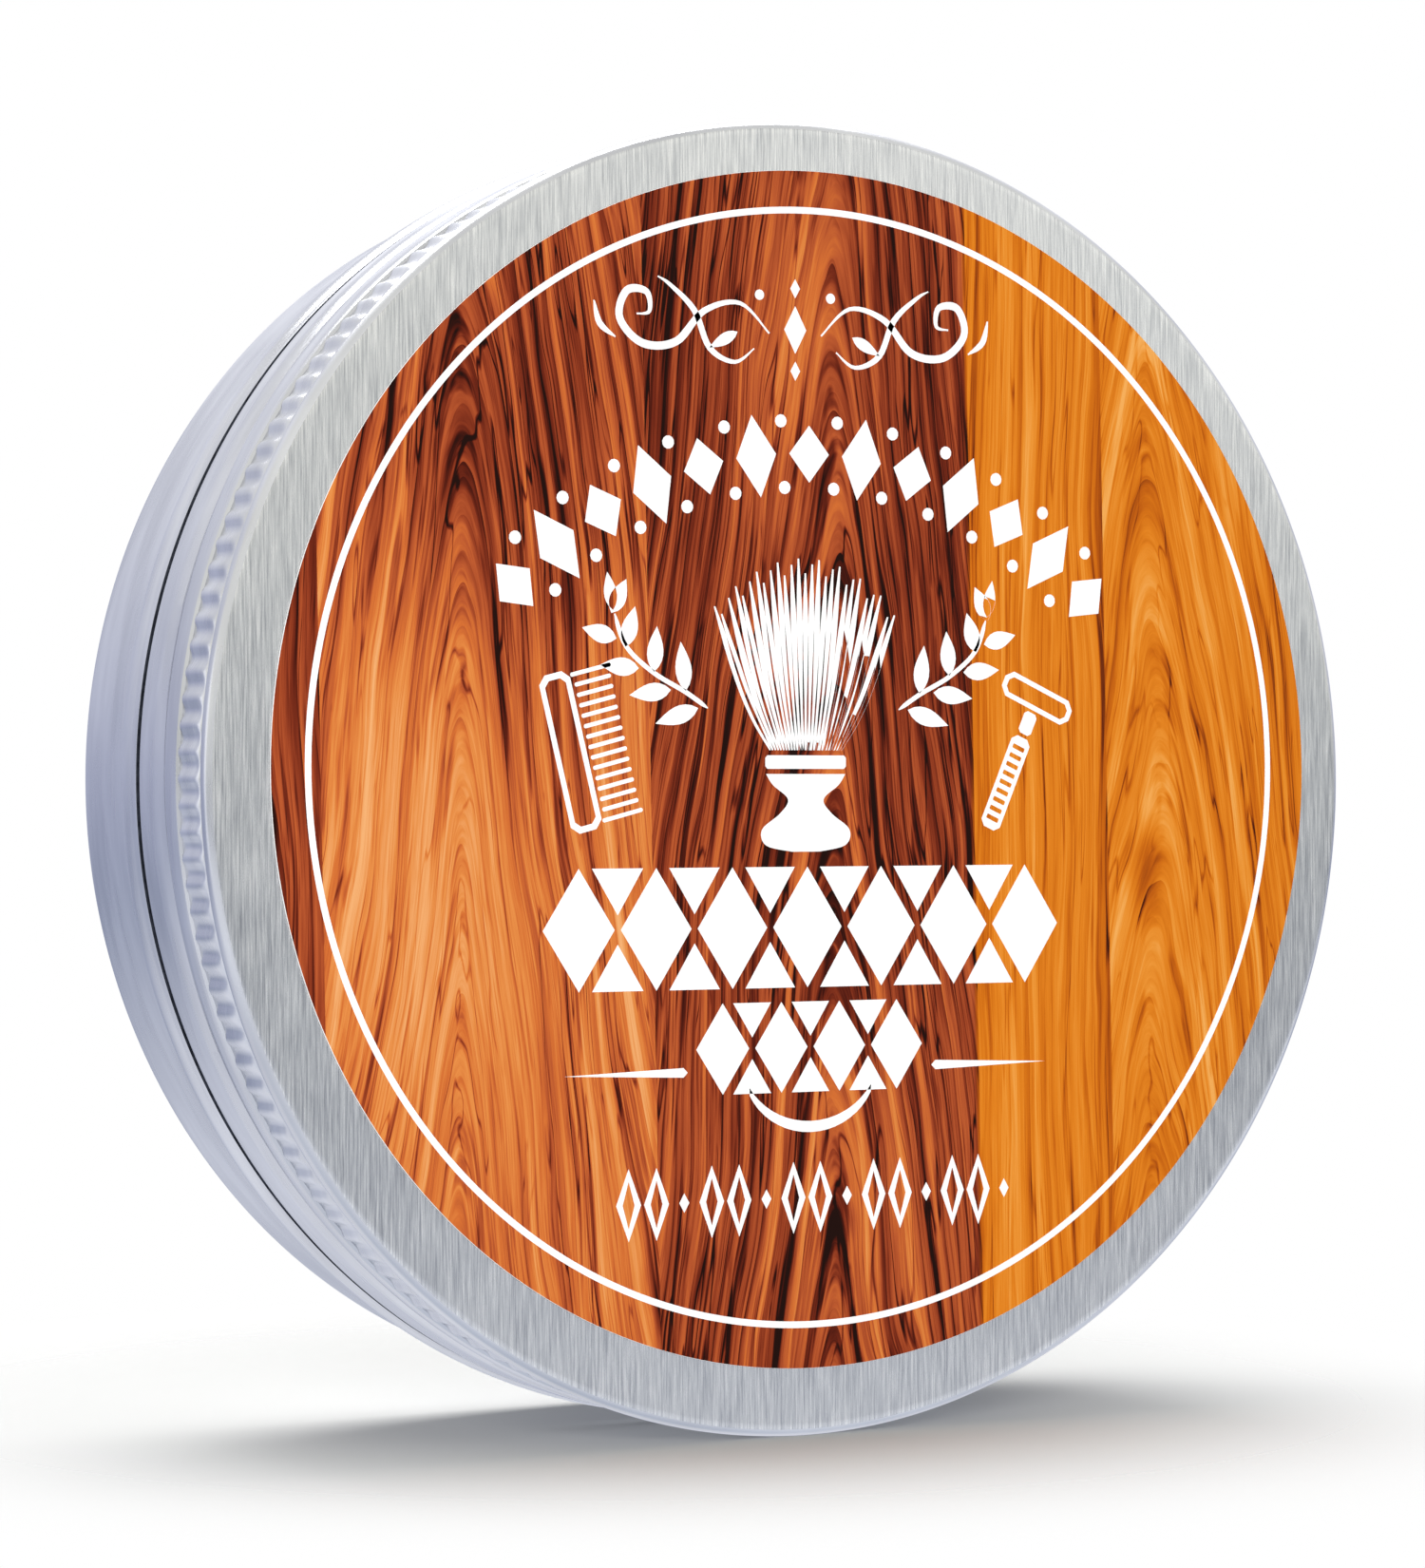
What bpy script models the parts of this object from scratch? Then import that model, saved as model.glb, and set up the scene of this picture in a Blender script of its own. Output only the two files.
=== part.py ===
"""Puck of shaving soap in a round screw-top aluminium tin.

The tin lies flat with its lid up. Z is the tin's axis, the origin is the middle of its foot, and +Y is
the top edge of the label. Profiles are (radius, height) points in millimetres, turned about Z.
"""
import math

import bmesh
import bpy
from mathutils import Vector

MM = 0.001
SEGMENTS = 60

# Driving dimensions, in millimetres.
LID_TOP = 23.2            # height of the lid's flat top
LID_RADIUS = 41.5         # widest point, the lid's rounded lip
SHEET = 0.5               # thickness of the aluminium
CLEARANCE = 0.3           # gap left between pieces that touch

# Lid
LIP_ROUND = 0.6           # radius of the lip's outer rounding
RECESS_RADIUS = 40.5      # narrow waist between the lip and the knurled band
KNURL_RADIUS = 41.05
KNURL_TOP = 21.1
KNURL_BOTTOM = 18.2
SKIRT_RADIUS = 41.25
SKIRT_BOTTOM = 12.5       # lower edge of the lid, just above the stop bead
HEM_HEIGHT = 0.9
HEM_THICKNESS = 0.65

# Tin
WALL_RADIUS = 40.1
FOOT_ROUND = 1.6          # radius of the outer bottom corner
FOOT_RING_INNER = 34.8    # inner edge of the flat ring that the tin stands on
PANEL_RISE = 0.5          # the bottom panel sits this much above the ring
PANEL_SLOPE = 0.6
BEAD_CENTRE = (40.2, 10.5)
BEAD_RADII = (1.15, 1.5)  # half sizes of the stop bead's oval section
BEAD_START = -80          # where the oval leaves the wall and meets the shoulder, in degrees
BEAD_END = 35
SHOULDER_TOP = 12.05      # flat ledge above the bead, which the lid closes down to
SHOULDER_RADIUS = 41.2
SHOULDER_ROUND = 0.2
NECK_RADIUS = 39.45
NECK_BOTTOM = 12.5
RIM_ROUND = 0.5           # radius of the curled rim

# Thread: one right-hand start, rolled into the neck and into the lid's skirt
PITCH = 4.0
NECK_THREAD_START = 13.6
NECK_THREAD_TURNS = 1.2
NECK_THREAD_WIDTH = 2.4
NECK_THREAD_HEIGHT = 0.8
LID_THREAD_START = 13.9
LID_THREAD_TURNS = 0.85
LID_THREAD_WIDTH = 1.8
LID_THREAD_HEIGHT = 0.8   # how far it stands into the lid
LID_THREAD_DENT = 0.35    # how deep it shows on the outside of the skirt
THREAD_FADE = math.radians(25)
ROW_SPACING = 0.6         # height of one row of faces where a thread is rolled in

# Inside the tin and on the lid
LINER_THICKNESS = 1.2
PUCK_RADIUS = 38.1
PUCK_SHOULDER = 1.6       # rounding of the puck's top edge
PUCK_FOOT = 0.6           # rounding of its bottom edge
HEADSPACE = 0.7           # from the soap to the top of the rim
LABEL_RADIUS = 37.8
LABEL_THICKNESS = 0.15
LABEL_GAP = 0.05
LABEL_OFFSET = (0.45, 0.6)  # the label is stuck on slightly off centre

# Worked out from the dimensions above
LINER_TOP = LID_TOP - SHEET - CLEARANCE
LINER_RADIUS = RECESS_RADIUS - SHEET - CLEARANCE
RIM_TOP = LINER_TOP - LINER_THICKNESS - CLEARANCE
PUCK_BOTTOM = PANEL_RISE + SHEET + CLEARANCE
PUCK_TOP = RIM_TOP - HEADSPACE
# The lid's thread runs midway between the turns of the neck's thread.
LID_THREAD_ANGLE = 2 * math.pi * (LID_THREAD_START - NECK_THREAD_START + PITCH / 2) / PITCH


def arc(centre, radii, start, end, steps):
    """Points on an oval arc in a profile, from one angle in degrees to another."""
    points = []
    for i in range(steps + 1):
        angle = math.radians(start + (end - start) * i / steps)
        points.append((centre[0] + radii[0] * math.cos(angle), centre[1] + radii[1] * math.sin(angle)))
    return points


def rows(radius, start, end):
    """Evenly spaced points on a straight wall, close enough to carry a rolled thread."""
    count = max(2, round(abs(end - start) / ROW_SPACING))
    return [(radius, start + (end - start) * i / count) for i in range(count + 1)]


def material(name, colour, roughness, metallic):
    mat = bpy.data.materials.new(name)
    mat.use_nodes = True
    shader = mat.node_tree.nodes["Principled BSDF"]
    shader.inputs["Base Color"].default_value = (*colour, 1.0)
    shader.inputs["Roughness"].default_value = roughness
    shader.inputs["Metallic"].default_value = metallic
    return mat


def turned(name, profile, mat, shape=None):
    """Turn a profile about Z into one closed piece. `shape` may move the vertices afterwards."""
    bm = bmesh.new()
    verts = [bm.verts.new((r * MM, 0.0, z * MM)) for r, z in profile]
    ends_on_axis = profile[0][0] == 0 and profile[-1][0] == 0
    pairs = list(zip(verts, verts[1:]))
    if not ends_on_axis:
        pairs.append((verts[-1], verts[0]))
    edges = [bm.edges.new(pair) for pair in pairs]
    bmesh.ops.spin(bm, geom=verts + edges, cent=(0, 0, 0), axis=(0, 0, 1),
                   angle=2 * math.pi, steps=SEGMENTS, use_merge=True)
    bmesh.ops.remove_doubles(bm, verts=bm.verts, dist=1e-6)
    if shape:
        shape(bm)
    bmesh.ops.recalc_face_normals(bm, faces=bm.faces)
    mesh = bpy.data.meshes.new(name)
    bm.to_mesh(mesh)
    bm.free()
    mesh.materials.append(mat)
    mesh.shade_smooth()
    mesh.set_sharp_from_angle(angle=math.radians(40))
    obj = bpy.data.objects.new(name, mesh)
    bpy.context.collection.objects.link(obj)
    return obj


def thread_height(angle, z, first_angle, first_z, turns, width):
    """Height of a rolled thread at a place on the wall, from 0 beside it to 1 on its crest."""
    length = 2 * math.pi * turns
    best = 0.0
    for lap in range(-1, 3):
        along = angle - first_angle + 2 * math.pi * lap
        if not 0 <= along <= length:
            continue
        across = abs(z - first_z - PITCH * along / (2 * math.pi)) / (width / 2)
        if across < 1:
            fade = min(1.0, along / THREAD_FADE, (length - along) / THREAD_FADE)
            best = max(best, fade * math.cos(across * math.pi / 2) ** 2)
    return best


def push(vert, distance):
    """Move a vertex outwards from the axis by a distance in millimetres."""
    outwards = Vector((vert.co.x, vert.co.y, 0)).normalized()
    vert.co += outwards * distance * MM


def roll_neck_thread(bm):
    """The sheet of the neck is pushed out, so the thread shows inside it too."""
    for vert in bm.verts:
        z = vert.co.z / MM
        radius = math.hypot(vert.co.x, vert.co.y) / MM
        if z < NECK_BOTTOM - 0.01 or z > RIM_TOP - 2 * RIM_ROUND or radius < NECK_RADIUS - 2 * SHEET:
            continue
        angle = math.atan2(vert.co.y, vert.co.x)
        height = thread_height(angle, z, 0.0, NECK_THREAD_START, NECK_THREAD_TURNS, NECK_THREAD_WIDTH)
        push(vert, NECK_THREAD_HEIGHT * height)


def roll_lid_thread(bm):
    """The skirt is pushed in: far on the inside, and only a little on the outside."""
    for vert in bm.verts:
        z = vert.co.z / MM
        radius = math.hypot(vert.co.x, vert.co.y) / MM
        if z < SKIRT_BOTTOM + HEM_HEIGHT - 0.01 or z > KNURL_BOTTOM - SHEET or radius < RECESS_RADIUS:
            continue
        angle = math.atan2(vert.co.y, vert.co.x)
        height = thread_height(angle, z, LID_THREAD_ANGLE, LID_THREAD_START,
                               LID_THREAD_TURNS, LID_THREAD_WIDTH)
        inside = radius < SKIRT_RADIUS - SHEET / 2
        push(vert, -(LID_THREAD_HEIGHT if inside else LID_THREAD_DENT) * height)


def make_tin_base(mat):
    foot = (WALL_RADIUS - FOOT_ROUND, FOOT_ROUND)
    rim = (NECK_RADIUS - RIM_ROUND, RIM_TOP - RIM_ROUND)
    inner_bead = (BEAD_RADII[0] - SHEET, BEAD_RADII[1] - SHEET)
    neck_top = RIM_TOP - 2.2 * RIM_ROUND
    neck_inner = NECK_RADIUS - SHEET
    ledge = SHOULDER_TOP - SHEET
    bead_foot = BEAD_CENTRE[1] - BEAD_RADII[1] - 0.15
    shoulder = (SHOULDER_RADIUS - SHOULDER_ROUND, SHOULDER_TOP - SHOULDER_ROUND)
    profile = [(0, PANEL_RISE), (FOOT_RING_INNER - PANEL_SLOPE, PANEL_RISE), (FOOT_RING_INNER, 0)]
    profile += arc(foot, (FOOT_ROUND, FOOT_ROUND), -90, 0, 4)
    profile.append((WALL_RADIUS, bead_foot))
    profile += arc(BEAD_CENTRE, BEAD_RADII, BEAD_START, BEAD_END, 7)
    profile += arc(shoulder, (SHOULDER_ROUND, SHOULDER_ROUND), 20, 90, 2)
    profile.append((NECK_RADIUS + CLEARANCE, SHOULDER_TOP))
    profile += rows(NECK_RADIUS, NECK_BOTTOM, neck_top)
    profile += arc(rim, (RIM_ROUND, RIM_ROUND), 0, 260, 8)
    profile += rows(neck_inner, neck_top, NECK_BOTTOM)
    profile += [(neck_inner + CLEARANCE, ledge), (shoulder[0], ledge)]
    profile += arc(BEAD_CENTRE, inner_bead, BEAD_END - 10, -55, 5)
    profile.append((WALL_RADIUS - SHEET, bead_foot))
    profile += arc(foot, (FOOT_ROUND - SHEET, FOOT_ROUND - SHEET), 0, -90, 3)
    profile += [(FOOT_RING_INNER, SHEET), (FOOT_RING_INNER - PANEL_SLOPE, PANEL_RISE + SHEET)]
    profile.append((0, PANEL_RISE + SHEET))
    return turned("tin_base", profile, mat, roll_neck_thread)


def make_lid(mat):
    lip = (LID_RADIUS - LIP_ROUND, LID_TOP - LIP_ROUND)
    inner_recess = RECESS_RADIUS - SHEET
    inner_skirt = SKIRT_RADIUS - SHEET
    skirt_top = KNURL_BOTTOM - SHEET
    hem_top = SKIRT_BOTTOM + HEM_HEIGHT
    hem_round = HEM_THICKNESS / 2
    hem = (SKIRT_RADIUS - hem_round, SKIRT_BOTTOM + hem_round)
    profile = [(0, LID_TOP)]
    profile += arc(lip, (LIP_ROUND, LIP_ROUND), 90, -40, 6)
    profile += [(RECESS_RADIUS, KNURL_TOP + 0.65), (RECESS_RADIUS, KNURL_TOP + 0.1)]
    profile += [(KNURL_RADIUS, KNURL_TOP - 0.15), (KNURL_RADIUS, KNURL_BOTTOM)]
    profile += [(KNURL_RADIUS - 0.2, KNURL_BOTTOM - 0.1), (SKIRT_RADIUS, skirt_top + 0.3)]
    profile += rows(SKIRT_RADIUS, skirt_top, hem_top)
    profile += arc(hem, (hem_round, hem_round), 0, -180, 4)
    profile.append((SKIRT_RADIUS - HEM_THICKNESS, hem_top - 0.15))
    profile += rows(inner_skirt, hem_top, skirt_top)
    profile += [(KNURL_RADIUS - SHEET, KNURL_BOTTOM), (KNURL_RADIUS - SHEET, KNURL_TOP - 0.3)]
    profile += [(inner_recess, KNURL_TOP), (inner_recess, KNURL_TOP + 0.65)]
    profile += [(lip[0] - CLEARANCE, LID_TOP - 2 * SHEET), (lip[0] - CLEARANCE, LID_TOP - SHEET)]
    profile.append((0, LID_TOP - SHEET))
    return turned("lid", profile, mat, roll_lid_thread)


def make_lid_liner(mat):
    bottom = LINER_TOP - LINER_THICKNESS
    profile = [(0, bottom), (LINER_RADIUS, bottom), (LINER_RADIUS, LINER_TOP), (0, LINER_TOP)]
    return turned("lid_liner", profile, mat)


def make_soap_puck(mat):
    foot = (PUCK_RADIUS - PUCK_FOOT, PUCK_BOTTOM + PUCK_FOOT)
    shoulder = (PUCK_RADIUS - PUCK_SHOULDER, PUCK_TOP - PUCK_SHOULDER)
    profile = [(0, PUCK_BOTTOM)]
    profile += arc(foot, (PUCK_FOOT, PUCK_FOOT), -90, 0, 2)
    profile += arc(shoulder, (PUCK_SHOULDER, PUCK_SHOULDER), 0, 90, 4)
    profile.append((0, PUCK_TOP))
    return turned("soap_puck", profile, mat)


def make_top_label(mat):
    bottom = LID_TOP + LABEL_GAP
    top = bottom + LABEL_THICKNESS
    profile = [(0, bottom), (LABEL_RADIUS, bottom), (LABEL_RADIUS, top), (0, top)]
    label = turned("top_label", profile, mat)
    label.location = (LABEL_OFFSET[0] * MM, LABEL_OFFSET[1] * MM, 0)
    return label


def main():
    for obj in list(bpy.data.objects):
        bpy.data.objects.remove(obj, do_unlink=True)
    aluminium = material("aluminium", (0.66, 0.67, 0.70), 0.32, 1.0)
    soap = material("soap", (0.87, 0.82, 0.70), 0.45, 0.0)
    foam = material("foam", (0.86, 0.86, 0.85), 0.8, 0.0)
    printed_film = material("printed_film", (0.45, 0.15, 0.04), 0.4, 0.0)
    make_tin_base(aluminium)
    make_soap_puck(soap)
    make_lid(aluminium)
    make_lid_liner(foam)
    make_top_label(printed_film)


main()
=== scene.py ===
"""A puck of shaving soap in its screw-top tin: aluminium shells, soap, foam liner and printed label.

Z is the tin's axis, its foot stands at z = 0, and +Y is the top edge of the label.
Outlines are (radius, height) points in millimetres.
"""
import math

import bpy
from mathutils import Matrix, Vector


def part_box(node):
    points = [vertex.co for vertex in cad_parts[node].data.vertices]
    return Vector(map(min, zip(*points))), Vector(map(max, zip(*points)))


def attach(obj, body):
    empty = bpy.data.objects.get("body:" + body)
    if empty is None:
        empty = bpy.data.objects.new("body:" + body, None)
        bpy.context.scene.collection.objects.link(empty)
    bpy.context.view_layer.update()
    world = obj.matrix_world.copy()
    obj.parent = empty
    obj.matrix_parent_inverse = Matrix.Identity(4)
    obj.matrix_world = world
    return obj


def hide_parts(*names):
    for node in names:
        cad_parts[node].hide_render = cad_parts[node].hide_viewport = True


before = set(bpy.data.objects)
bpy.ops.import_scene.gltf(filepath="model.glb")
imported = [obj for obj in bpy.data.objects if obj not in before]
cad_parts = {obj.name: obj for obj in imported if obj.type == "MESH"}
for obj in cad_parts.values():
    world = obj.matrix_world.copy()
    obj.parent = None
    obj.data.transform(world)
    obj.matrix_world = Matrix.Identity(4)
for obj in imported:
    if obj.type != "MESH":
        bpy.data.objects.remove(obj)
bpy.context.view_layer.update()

# ---------------------------------------------------------------------------------------------
# Sizes in millimetres. Radii and heights of whole parts come from the parts in model.glb.
# ---------------------------------------------------------------------------------------------

MM = 0.001


def span(node):
    """Radius, lowest and highest point of a round node, in millimetres."""
    low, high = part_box(node)
    return (high.x - low.x) / 2 / MM, low.z / MM, high.z / MM


LID_RADIUS, SKIRT_BOTTOM, LID_TOP = span("lid")
RIM_TOP = span("tin_base")[2]
PUCK_RADIUS, PUCK_BOTTOM, PUCK_TOP = span("soap_puck")
LINER_RADIUS, LINER_BOTTOM, LINER_TOP = span("lid_liner")
LABEL_RADIUS, _, LABEL_TOP = span("top_label")
LABEL_CENTRE = (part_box("top_label")[0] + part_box("top_label")[1]) / 2 / MM

SHEET = 0.3               # thickness of the aluminium sheet
LIP_ROUND = 0.6
RECESS_RADIUS = 40.5      # narrow waist between the lip and the knurl
KNURL_ROOT = 40.96        # bottom of the grooves between the knurl's ridges
KNURL_HEIGHT = 0.25
KNURL_TOP = LID_TOP - 2.1
KNURL_BOTTOM = LID_TOP - 5.0
KNURL_RIDGES = 160
SKIRT_RADIUS = 41.25
HEM = 0.65                # thickness of the folded lower edge
WALL_RADIUS = 40.1
FOOT_ROUND = 1.6
FOOT_RING_INNER = 34.8
PANEL_RISE = 0.5
BEAD_CENTRE = (40.2, 10.5)
BEAD_SIZE = (1.15, 1.5)
SHOULDER_TOP = 12.05      # flat ledge above the bead, which the lid closes down to
SHOULDER_RADIUS = 41.2
SHOULDER_ROUND = 0.2
NECK_RADIUS = 39.45
NECK_BOTTOM = 12.5
PAINTED_SHADE_DEPTH = 0.75       # depth of the painted shade: from the ledge down to just below the groove beside the neck
RIM_ROUND = 0.5
PITCH = 4.0               # rise of the lid in one turn
THREAD_START = 13.6       # height at which both threads begin
INK = 0.03                # thickness of the white print
INK_GRIP = 0.005          # how far the print reaches down into the film
FILM = 0.14               # thickness of the label film
RING_RADII = (34.95, 35.37)
RING_CENTRE = (0.25, 0.73)
ON_WALL = 0.02            # how far from a wall's radius a point still counts as on it

LID_STEPS = KNURL_RIDGES * 6
TIN_STEPS = 360
DISC_STEPS = 360


# ---------------------------------------------------------------------------------------------
# Modelling
# ---------------------------------------------------------------------------------------------

def deselect():
    if bpy.context.object and bpy.context.object.mode != "OBJECT":
        bpy.ops.object.mode_set(mode="OBJECT")
    bpy.ops.object.select_all(action="DESELECT")


def arc(centre, size, start, end, steps):
    """Points on an oval arc, from one angle in degrees to another."""
    turns = [math.radians(start + (end - start) * i / steps) for i in range(steps + 1)]
    return [(centre[0] + size[0] * math.cos(t), centre[1] + size[1] * math.sin(t)) for t in turns]


def rows(radius, start, end, spacing):
    """Evenly spaced points on a straight wall."""
    count = max(1, round(abs(end - start) / spacing))
    return [(radius, start + (end - start) * i / count) for i in range(count + 1)]


def turn(name, outline, steps, centre=(0, 0)):
    """Trace an outline with extrusions, and spin it once round its axis."""
    deselect()
    start = (centre[0] * MM + outline[0][0] * MM, centre[1] * MM, outline[0][1] * MM)
    bpy.ops.mesh.primitive_plane_add(size=MM, location=start)
    piece = bpy.context.active_object
    piece.name = piece.data.name = name
    bpy.ops.object.mode_set(mode="EDIT")
    bpy.ops.mesh.select_all(action="SELECT")
    bpy.ops.mesh.merge(type="CENTER")
    for here, there in zip(outline, outline[1:]):
        step = ((there[0] - here[0]) * MM, 0, (there[1] - here[1]) * MM)
        bpy.ops.mesh.extrude_region_move(TRANSFORM_OT_translate={"value": step})
    bpy.ops.mesh.select_all(action="SELECT")
    bpy.ops.mesh.spin(steps=steps, angle=2 * math.pi, center=(centre[0] * MM, centre[1] * MM, 0),
                      axis=(0, 0, 1))
    bpy.ops.mesh.select_all(action="SELECT")
    bpy.ops.mesh.remove_doubles(threshold=1e-6)
    bpy.ops.mesh.normals_make_consistent(inside=False)
    bpy.ops.object.mode_set(mode="OBJECT")
    bpy.ops.object.transform_apply(location=True, rotation=True, scale=True)
    return piece


def face_outwards(piece, direction):
    """Turn an open sheet round if its first face on the axis looks the wrong way."""
    middle = min(piece.data.polygons, key=lambda face: math.hypot(face.center.x, face.center.y))
    if middle.normal.z * direction < 0:
        bpy.ops.object.mode_set(mode="EDIT")
        bpy.ops.mesh.select_all(action="SELECT")
        bpy.ops.mesh.flip_normals()
        bpy.ops.object.mode_set(mode="OBJECT")


def on_wall(place, radius):
    """Whether a point lies on an upright wall of this radius."""
    return abs(math.hypot(place.x, place.y) / MM - radius) <= ON_WALL


def roll_in(piece, name, height, weight_of):
    """Push the sheet along its normals, as a roller does. `weight_of` gives 0 to 1 for a vertex."""
    group = piece.vertex_groups.new(name=name)
    for vert in piece.data.vertices:
        weight = weight_of(vert.co)
        if weight > 0.001:
            group.add([vert.index], weight, "REPLACE")
    press = piece.modifiers.new(name, "DISPLACE")
    press.vertex_group = name
    press.mid_level = 0
    press.strength = height * MM
    bpy.ops.object.modifier_apply(modifier=name)


def give_thickness(piece, thickness):
    wall = piece.modifiers.new("sheet", "SOLIDIFY")
    wall.thickness = thickness * MM
    wall.offset = -1
    wall.use_even_offset = True
    bpy.ops.object.modifier_apply(modifier=wall.name)


def finish_piece(piece, materials, body, node, angle=35):
    """Smooth shading, materials, and the place in the assembly."""
    deselect()
    piece.select_set(True)
    bpy.context.view_layer.objects.active = piece
    bpy.ops.object.shade_smooth_by_angle(angle=math.radians(angle))
    for mat in materials:
        piece.data.materials.append(mat)
    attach(piece, body)
    if node:
        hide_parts(node)


def helix(place, first_angle, first_z, turns, width):
    """How far into a rolled thread a place on the wall lies: 0 beside it, 1 on its crest."""
    angle = math.atan2(place.y, place.x) - first_angle
    length = 2 * math.pi * turns
    fade_length = math.radians(25)
    best = 0.0
    for lap in range(-2, 3):
        along = angle + 2 * math.pi * lap
        if 0 <= along <= length:
            across = abs(place.z / MM - first_z - PITCH * along / (2 * math.pi)) / (width / 2)
            if across < 1:
                fade = min(1.0, along / fade_length, (length - along) / fade_length)
                best = max(best, fade * math.cos(across * math.pi / 2) ** 2)
    return best


# ---------------------------------------------------------------------------------------------
# Materials
# ---------------------------------------------------------------------------------------------

def linear(hex_colour):
    """An sRGB hex colour as linear RGBA."""
    values = [int(hex_colour[i:i + 2], 16) / 255 for i in (1, 3, 5)]
    return (*[v / 12.92 if v <= 0.04045 else ((v + 0.055) / 1.055) ** 2.4 for v in values], 1.0)


def add(tree, kind, links=None, **settings):
    """Add a node, set its properties, and link or fill its inputs."""
    made = tree.nodes.new(kind)
    for name, value in settings.items():
        setattr(made, name, value)
    for name, value in (links or {}).items():
        if isinstance(value, bpy.types.NodeSocket):
            tree.links.new(value, made.inputs[name])
        else:
            made.inputs[name].default_value = value
    return made


def new_material(name):
    mat = bpy.data.materials.new(name)
    mat.use_nodes = True
    return mat, mat.node_tree, mat.node_tree.nodes["Principled BSDF"]


def set_ramp(ramp_node, stops, interpolation="LINEAR"):
    """Give a colour ramp its stops, as (position, colour)."""
    ramp = ramp_node.color_ramp
    ramp.interpolation = interpolation
    while len(ramp.elements) < len(stops):
        ramp.elements.new(0.5)
    for element, (position, colour) in zip(ramp.elements, stops):
        element.position = position
        element.color = linear(colour) if isinstance(colour, str) else colour
    return ramp_node.outputs["Color"]


def maths(tree, operation, a, b=0.0, c=0.0):
    return add(tree, "ShaderNodeMath", {0: a, 1: b, 2: c}, operation=operation).outputs[0]


def share_of(tree, value, low, high, at_low, at_high, kind="LINEAR"):
    """A value mapped from one range to another, and kept within it."""
    return add(tree, "ShaderNodeMapRange", {0: value, 1: low, 2: high, 3: at_low, 4: at_high},
               interpolation_type=kind).outputs[0]


def mixed(tree, share, colour_a, colour_b):
    """Two colours mixed: A where the share is 0 and B where it is 1."""
    return add(tree, "ShaderNodeMix", {0: share, 6: colour_a, 7: colour_b}, data_type="RGBA").outputs[2]


def millimetres(tree):
    """Object coordinates in millimetres."""
    where = add(tree, "ShaderNodeTexCoord").outputs["Object"]
    return add(tree, "ShaderNodeVectorMath", {0: where, "Scale": 1 / MM}, operation="SCALE").outputs[0]


def stretched_noise(tree, vector, scale, detail=4.0, roughness=0.5, shift=(0, 0, 0)):
    """Noise whose scale differs by direction, as it does along and across a grain."""
    place = add(tree, "ShaderNodeMapping", {"Vector": vector, "Location": shift, "Scale": scale})
    return add(tree, "ShaderNodeTexNoise", {"Vector": place.outputs[0], "Scale": 1.0, "Detail": detail,
                                            "Roughness": roughness}).outputs["Fac"]


def brushed_aluminium():
    """Sheet aluminium, brushed in one direction with fine belt grit: straight silky lines along Y."""
    mat, tree, shader = new_material("brushed_aluminium")
    where = millimetres(tree)
    lines = stretched_noise(tree, where, (9.0, 0.28, 1.0), 5.0, 0.62)
    dashes = stretched_noise(tree, where, (5.0, 1.1, 1.0), 3.0, 0.6, (7, 3, 1))
    cloud = stretched_noise(tree, where, (0.09, 0.05, 1.0), 2.0, 0.5, (3, 8, 2))
    grain = maths(tree, "MULTIPLY_ADD", dashes, 0.45, lines)
    shade = add(tree, "ShaderNodeValToRGB", {0: lines})
    colour = set_ramp(shade, [(0.30, "#B2B4B8"), (0.5, "#D8D9DA"), (0.70, "#F6F6F4")])
    rough = share_of(tree, maths(tree, "MULTIPLY_ADD", cloud, 0.5, lines), 0.4, 1.2, 0.20, 0.32)
    bump = add(tree, "ShaderNodeBump", {"Height": grain, "Strength": 0.6, "Distance": 0.012 * MM})
    tree.links.new(colour, shader.inputs["Base Color"])
    tree.links.new(rough, shader.inputs["Roughness"])
    tree.links.new(bump.outputs[0], shader.inputs["Normal"])
    shader.inputs["Metallic"].default_value = 1.0
    return mat


def drawn_aluminium():
    """The same sheet drawn over a punch and rolled: smoother, with faint lines running round."""
    mat, tree, shader = new_material("drawn_aluminium")
    where = millimetres(tree)
    parts = add(tree, "ShaderNodeSeparateXYZ", {0: where})
    flat = add(tree, "ShaderNodeCombineXYZ", {0: parts.outputs[0], 1: parts.outputs[1]})
    round_it = add(tree, "ShaderNodeVectorMath", {0: flat.outputs[0]}, operation="NORMALIZE")
    rounded = add(tree, "ShaderNodeSeparateXYZ", {0: round_it.outputs[0]})
    lathe = add(tree, "ShaderNodeCombineXYZ", {0: rounded.outputs[0], 1: rounded.outputs[1],
                                               2: parts.outputs[2]})
    lines = stretched_noise(tree, lathe.outputs[0], (9.0, 9.0, 6.0), 4.0, 0.55)
    cloud = stretched_noise(tree, lathe.outputs[0], (3.0, 3.0, 0.5), 3.0, 0.55, (2, 5, 1))
    grit = stretched_noise(tree, where, (7.0, 7.0, 7.0), 2.0, 0.5)
    grain = maths(tree, "MULTIPLY_ADD", grit, 0.4, lines)
    shade = add(tree, "ShaderNodeValToRGB", {0: cloud})
    colour = set_ramp(shade, [(0.3, "#CDCED2"), (0.7, "#E6E7EA")])
    rough = share_of(tree, cloud, 0.3, 0.7, 0.22, 0.34)
    bump = add(tree, "ShaderNodeBump", {"Height": grain, "Strength": 0.25, "Distance": 0.01 * MM})
    tree.links.new(colour, shader.inputs["Base Color"])
    tree.links.new(rough, shader.inputs["Roughness"])
    tree.links.new(bump.outputs[0], shader.inputs["Normal"])
    shader.inputs["Metallic"].default_value = 1.0
    return mat


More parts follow.
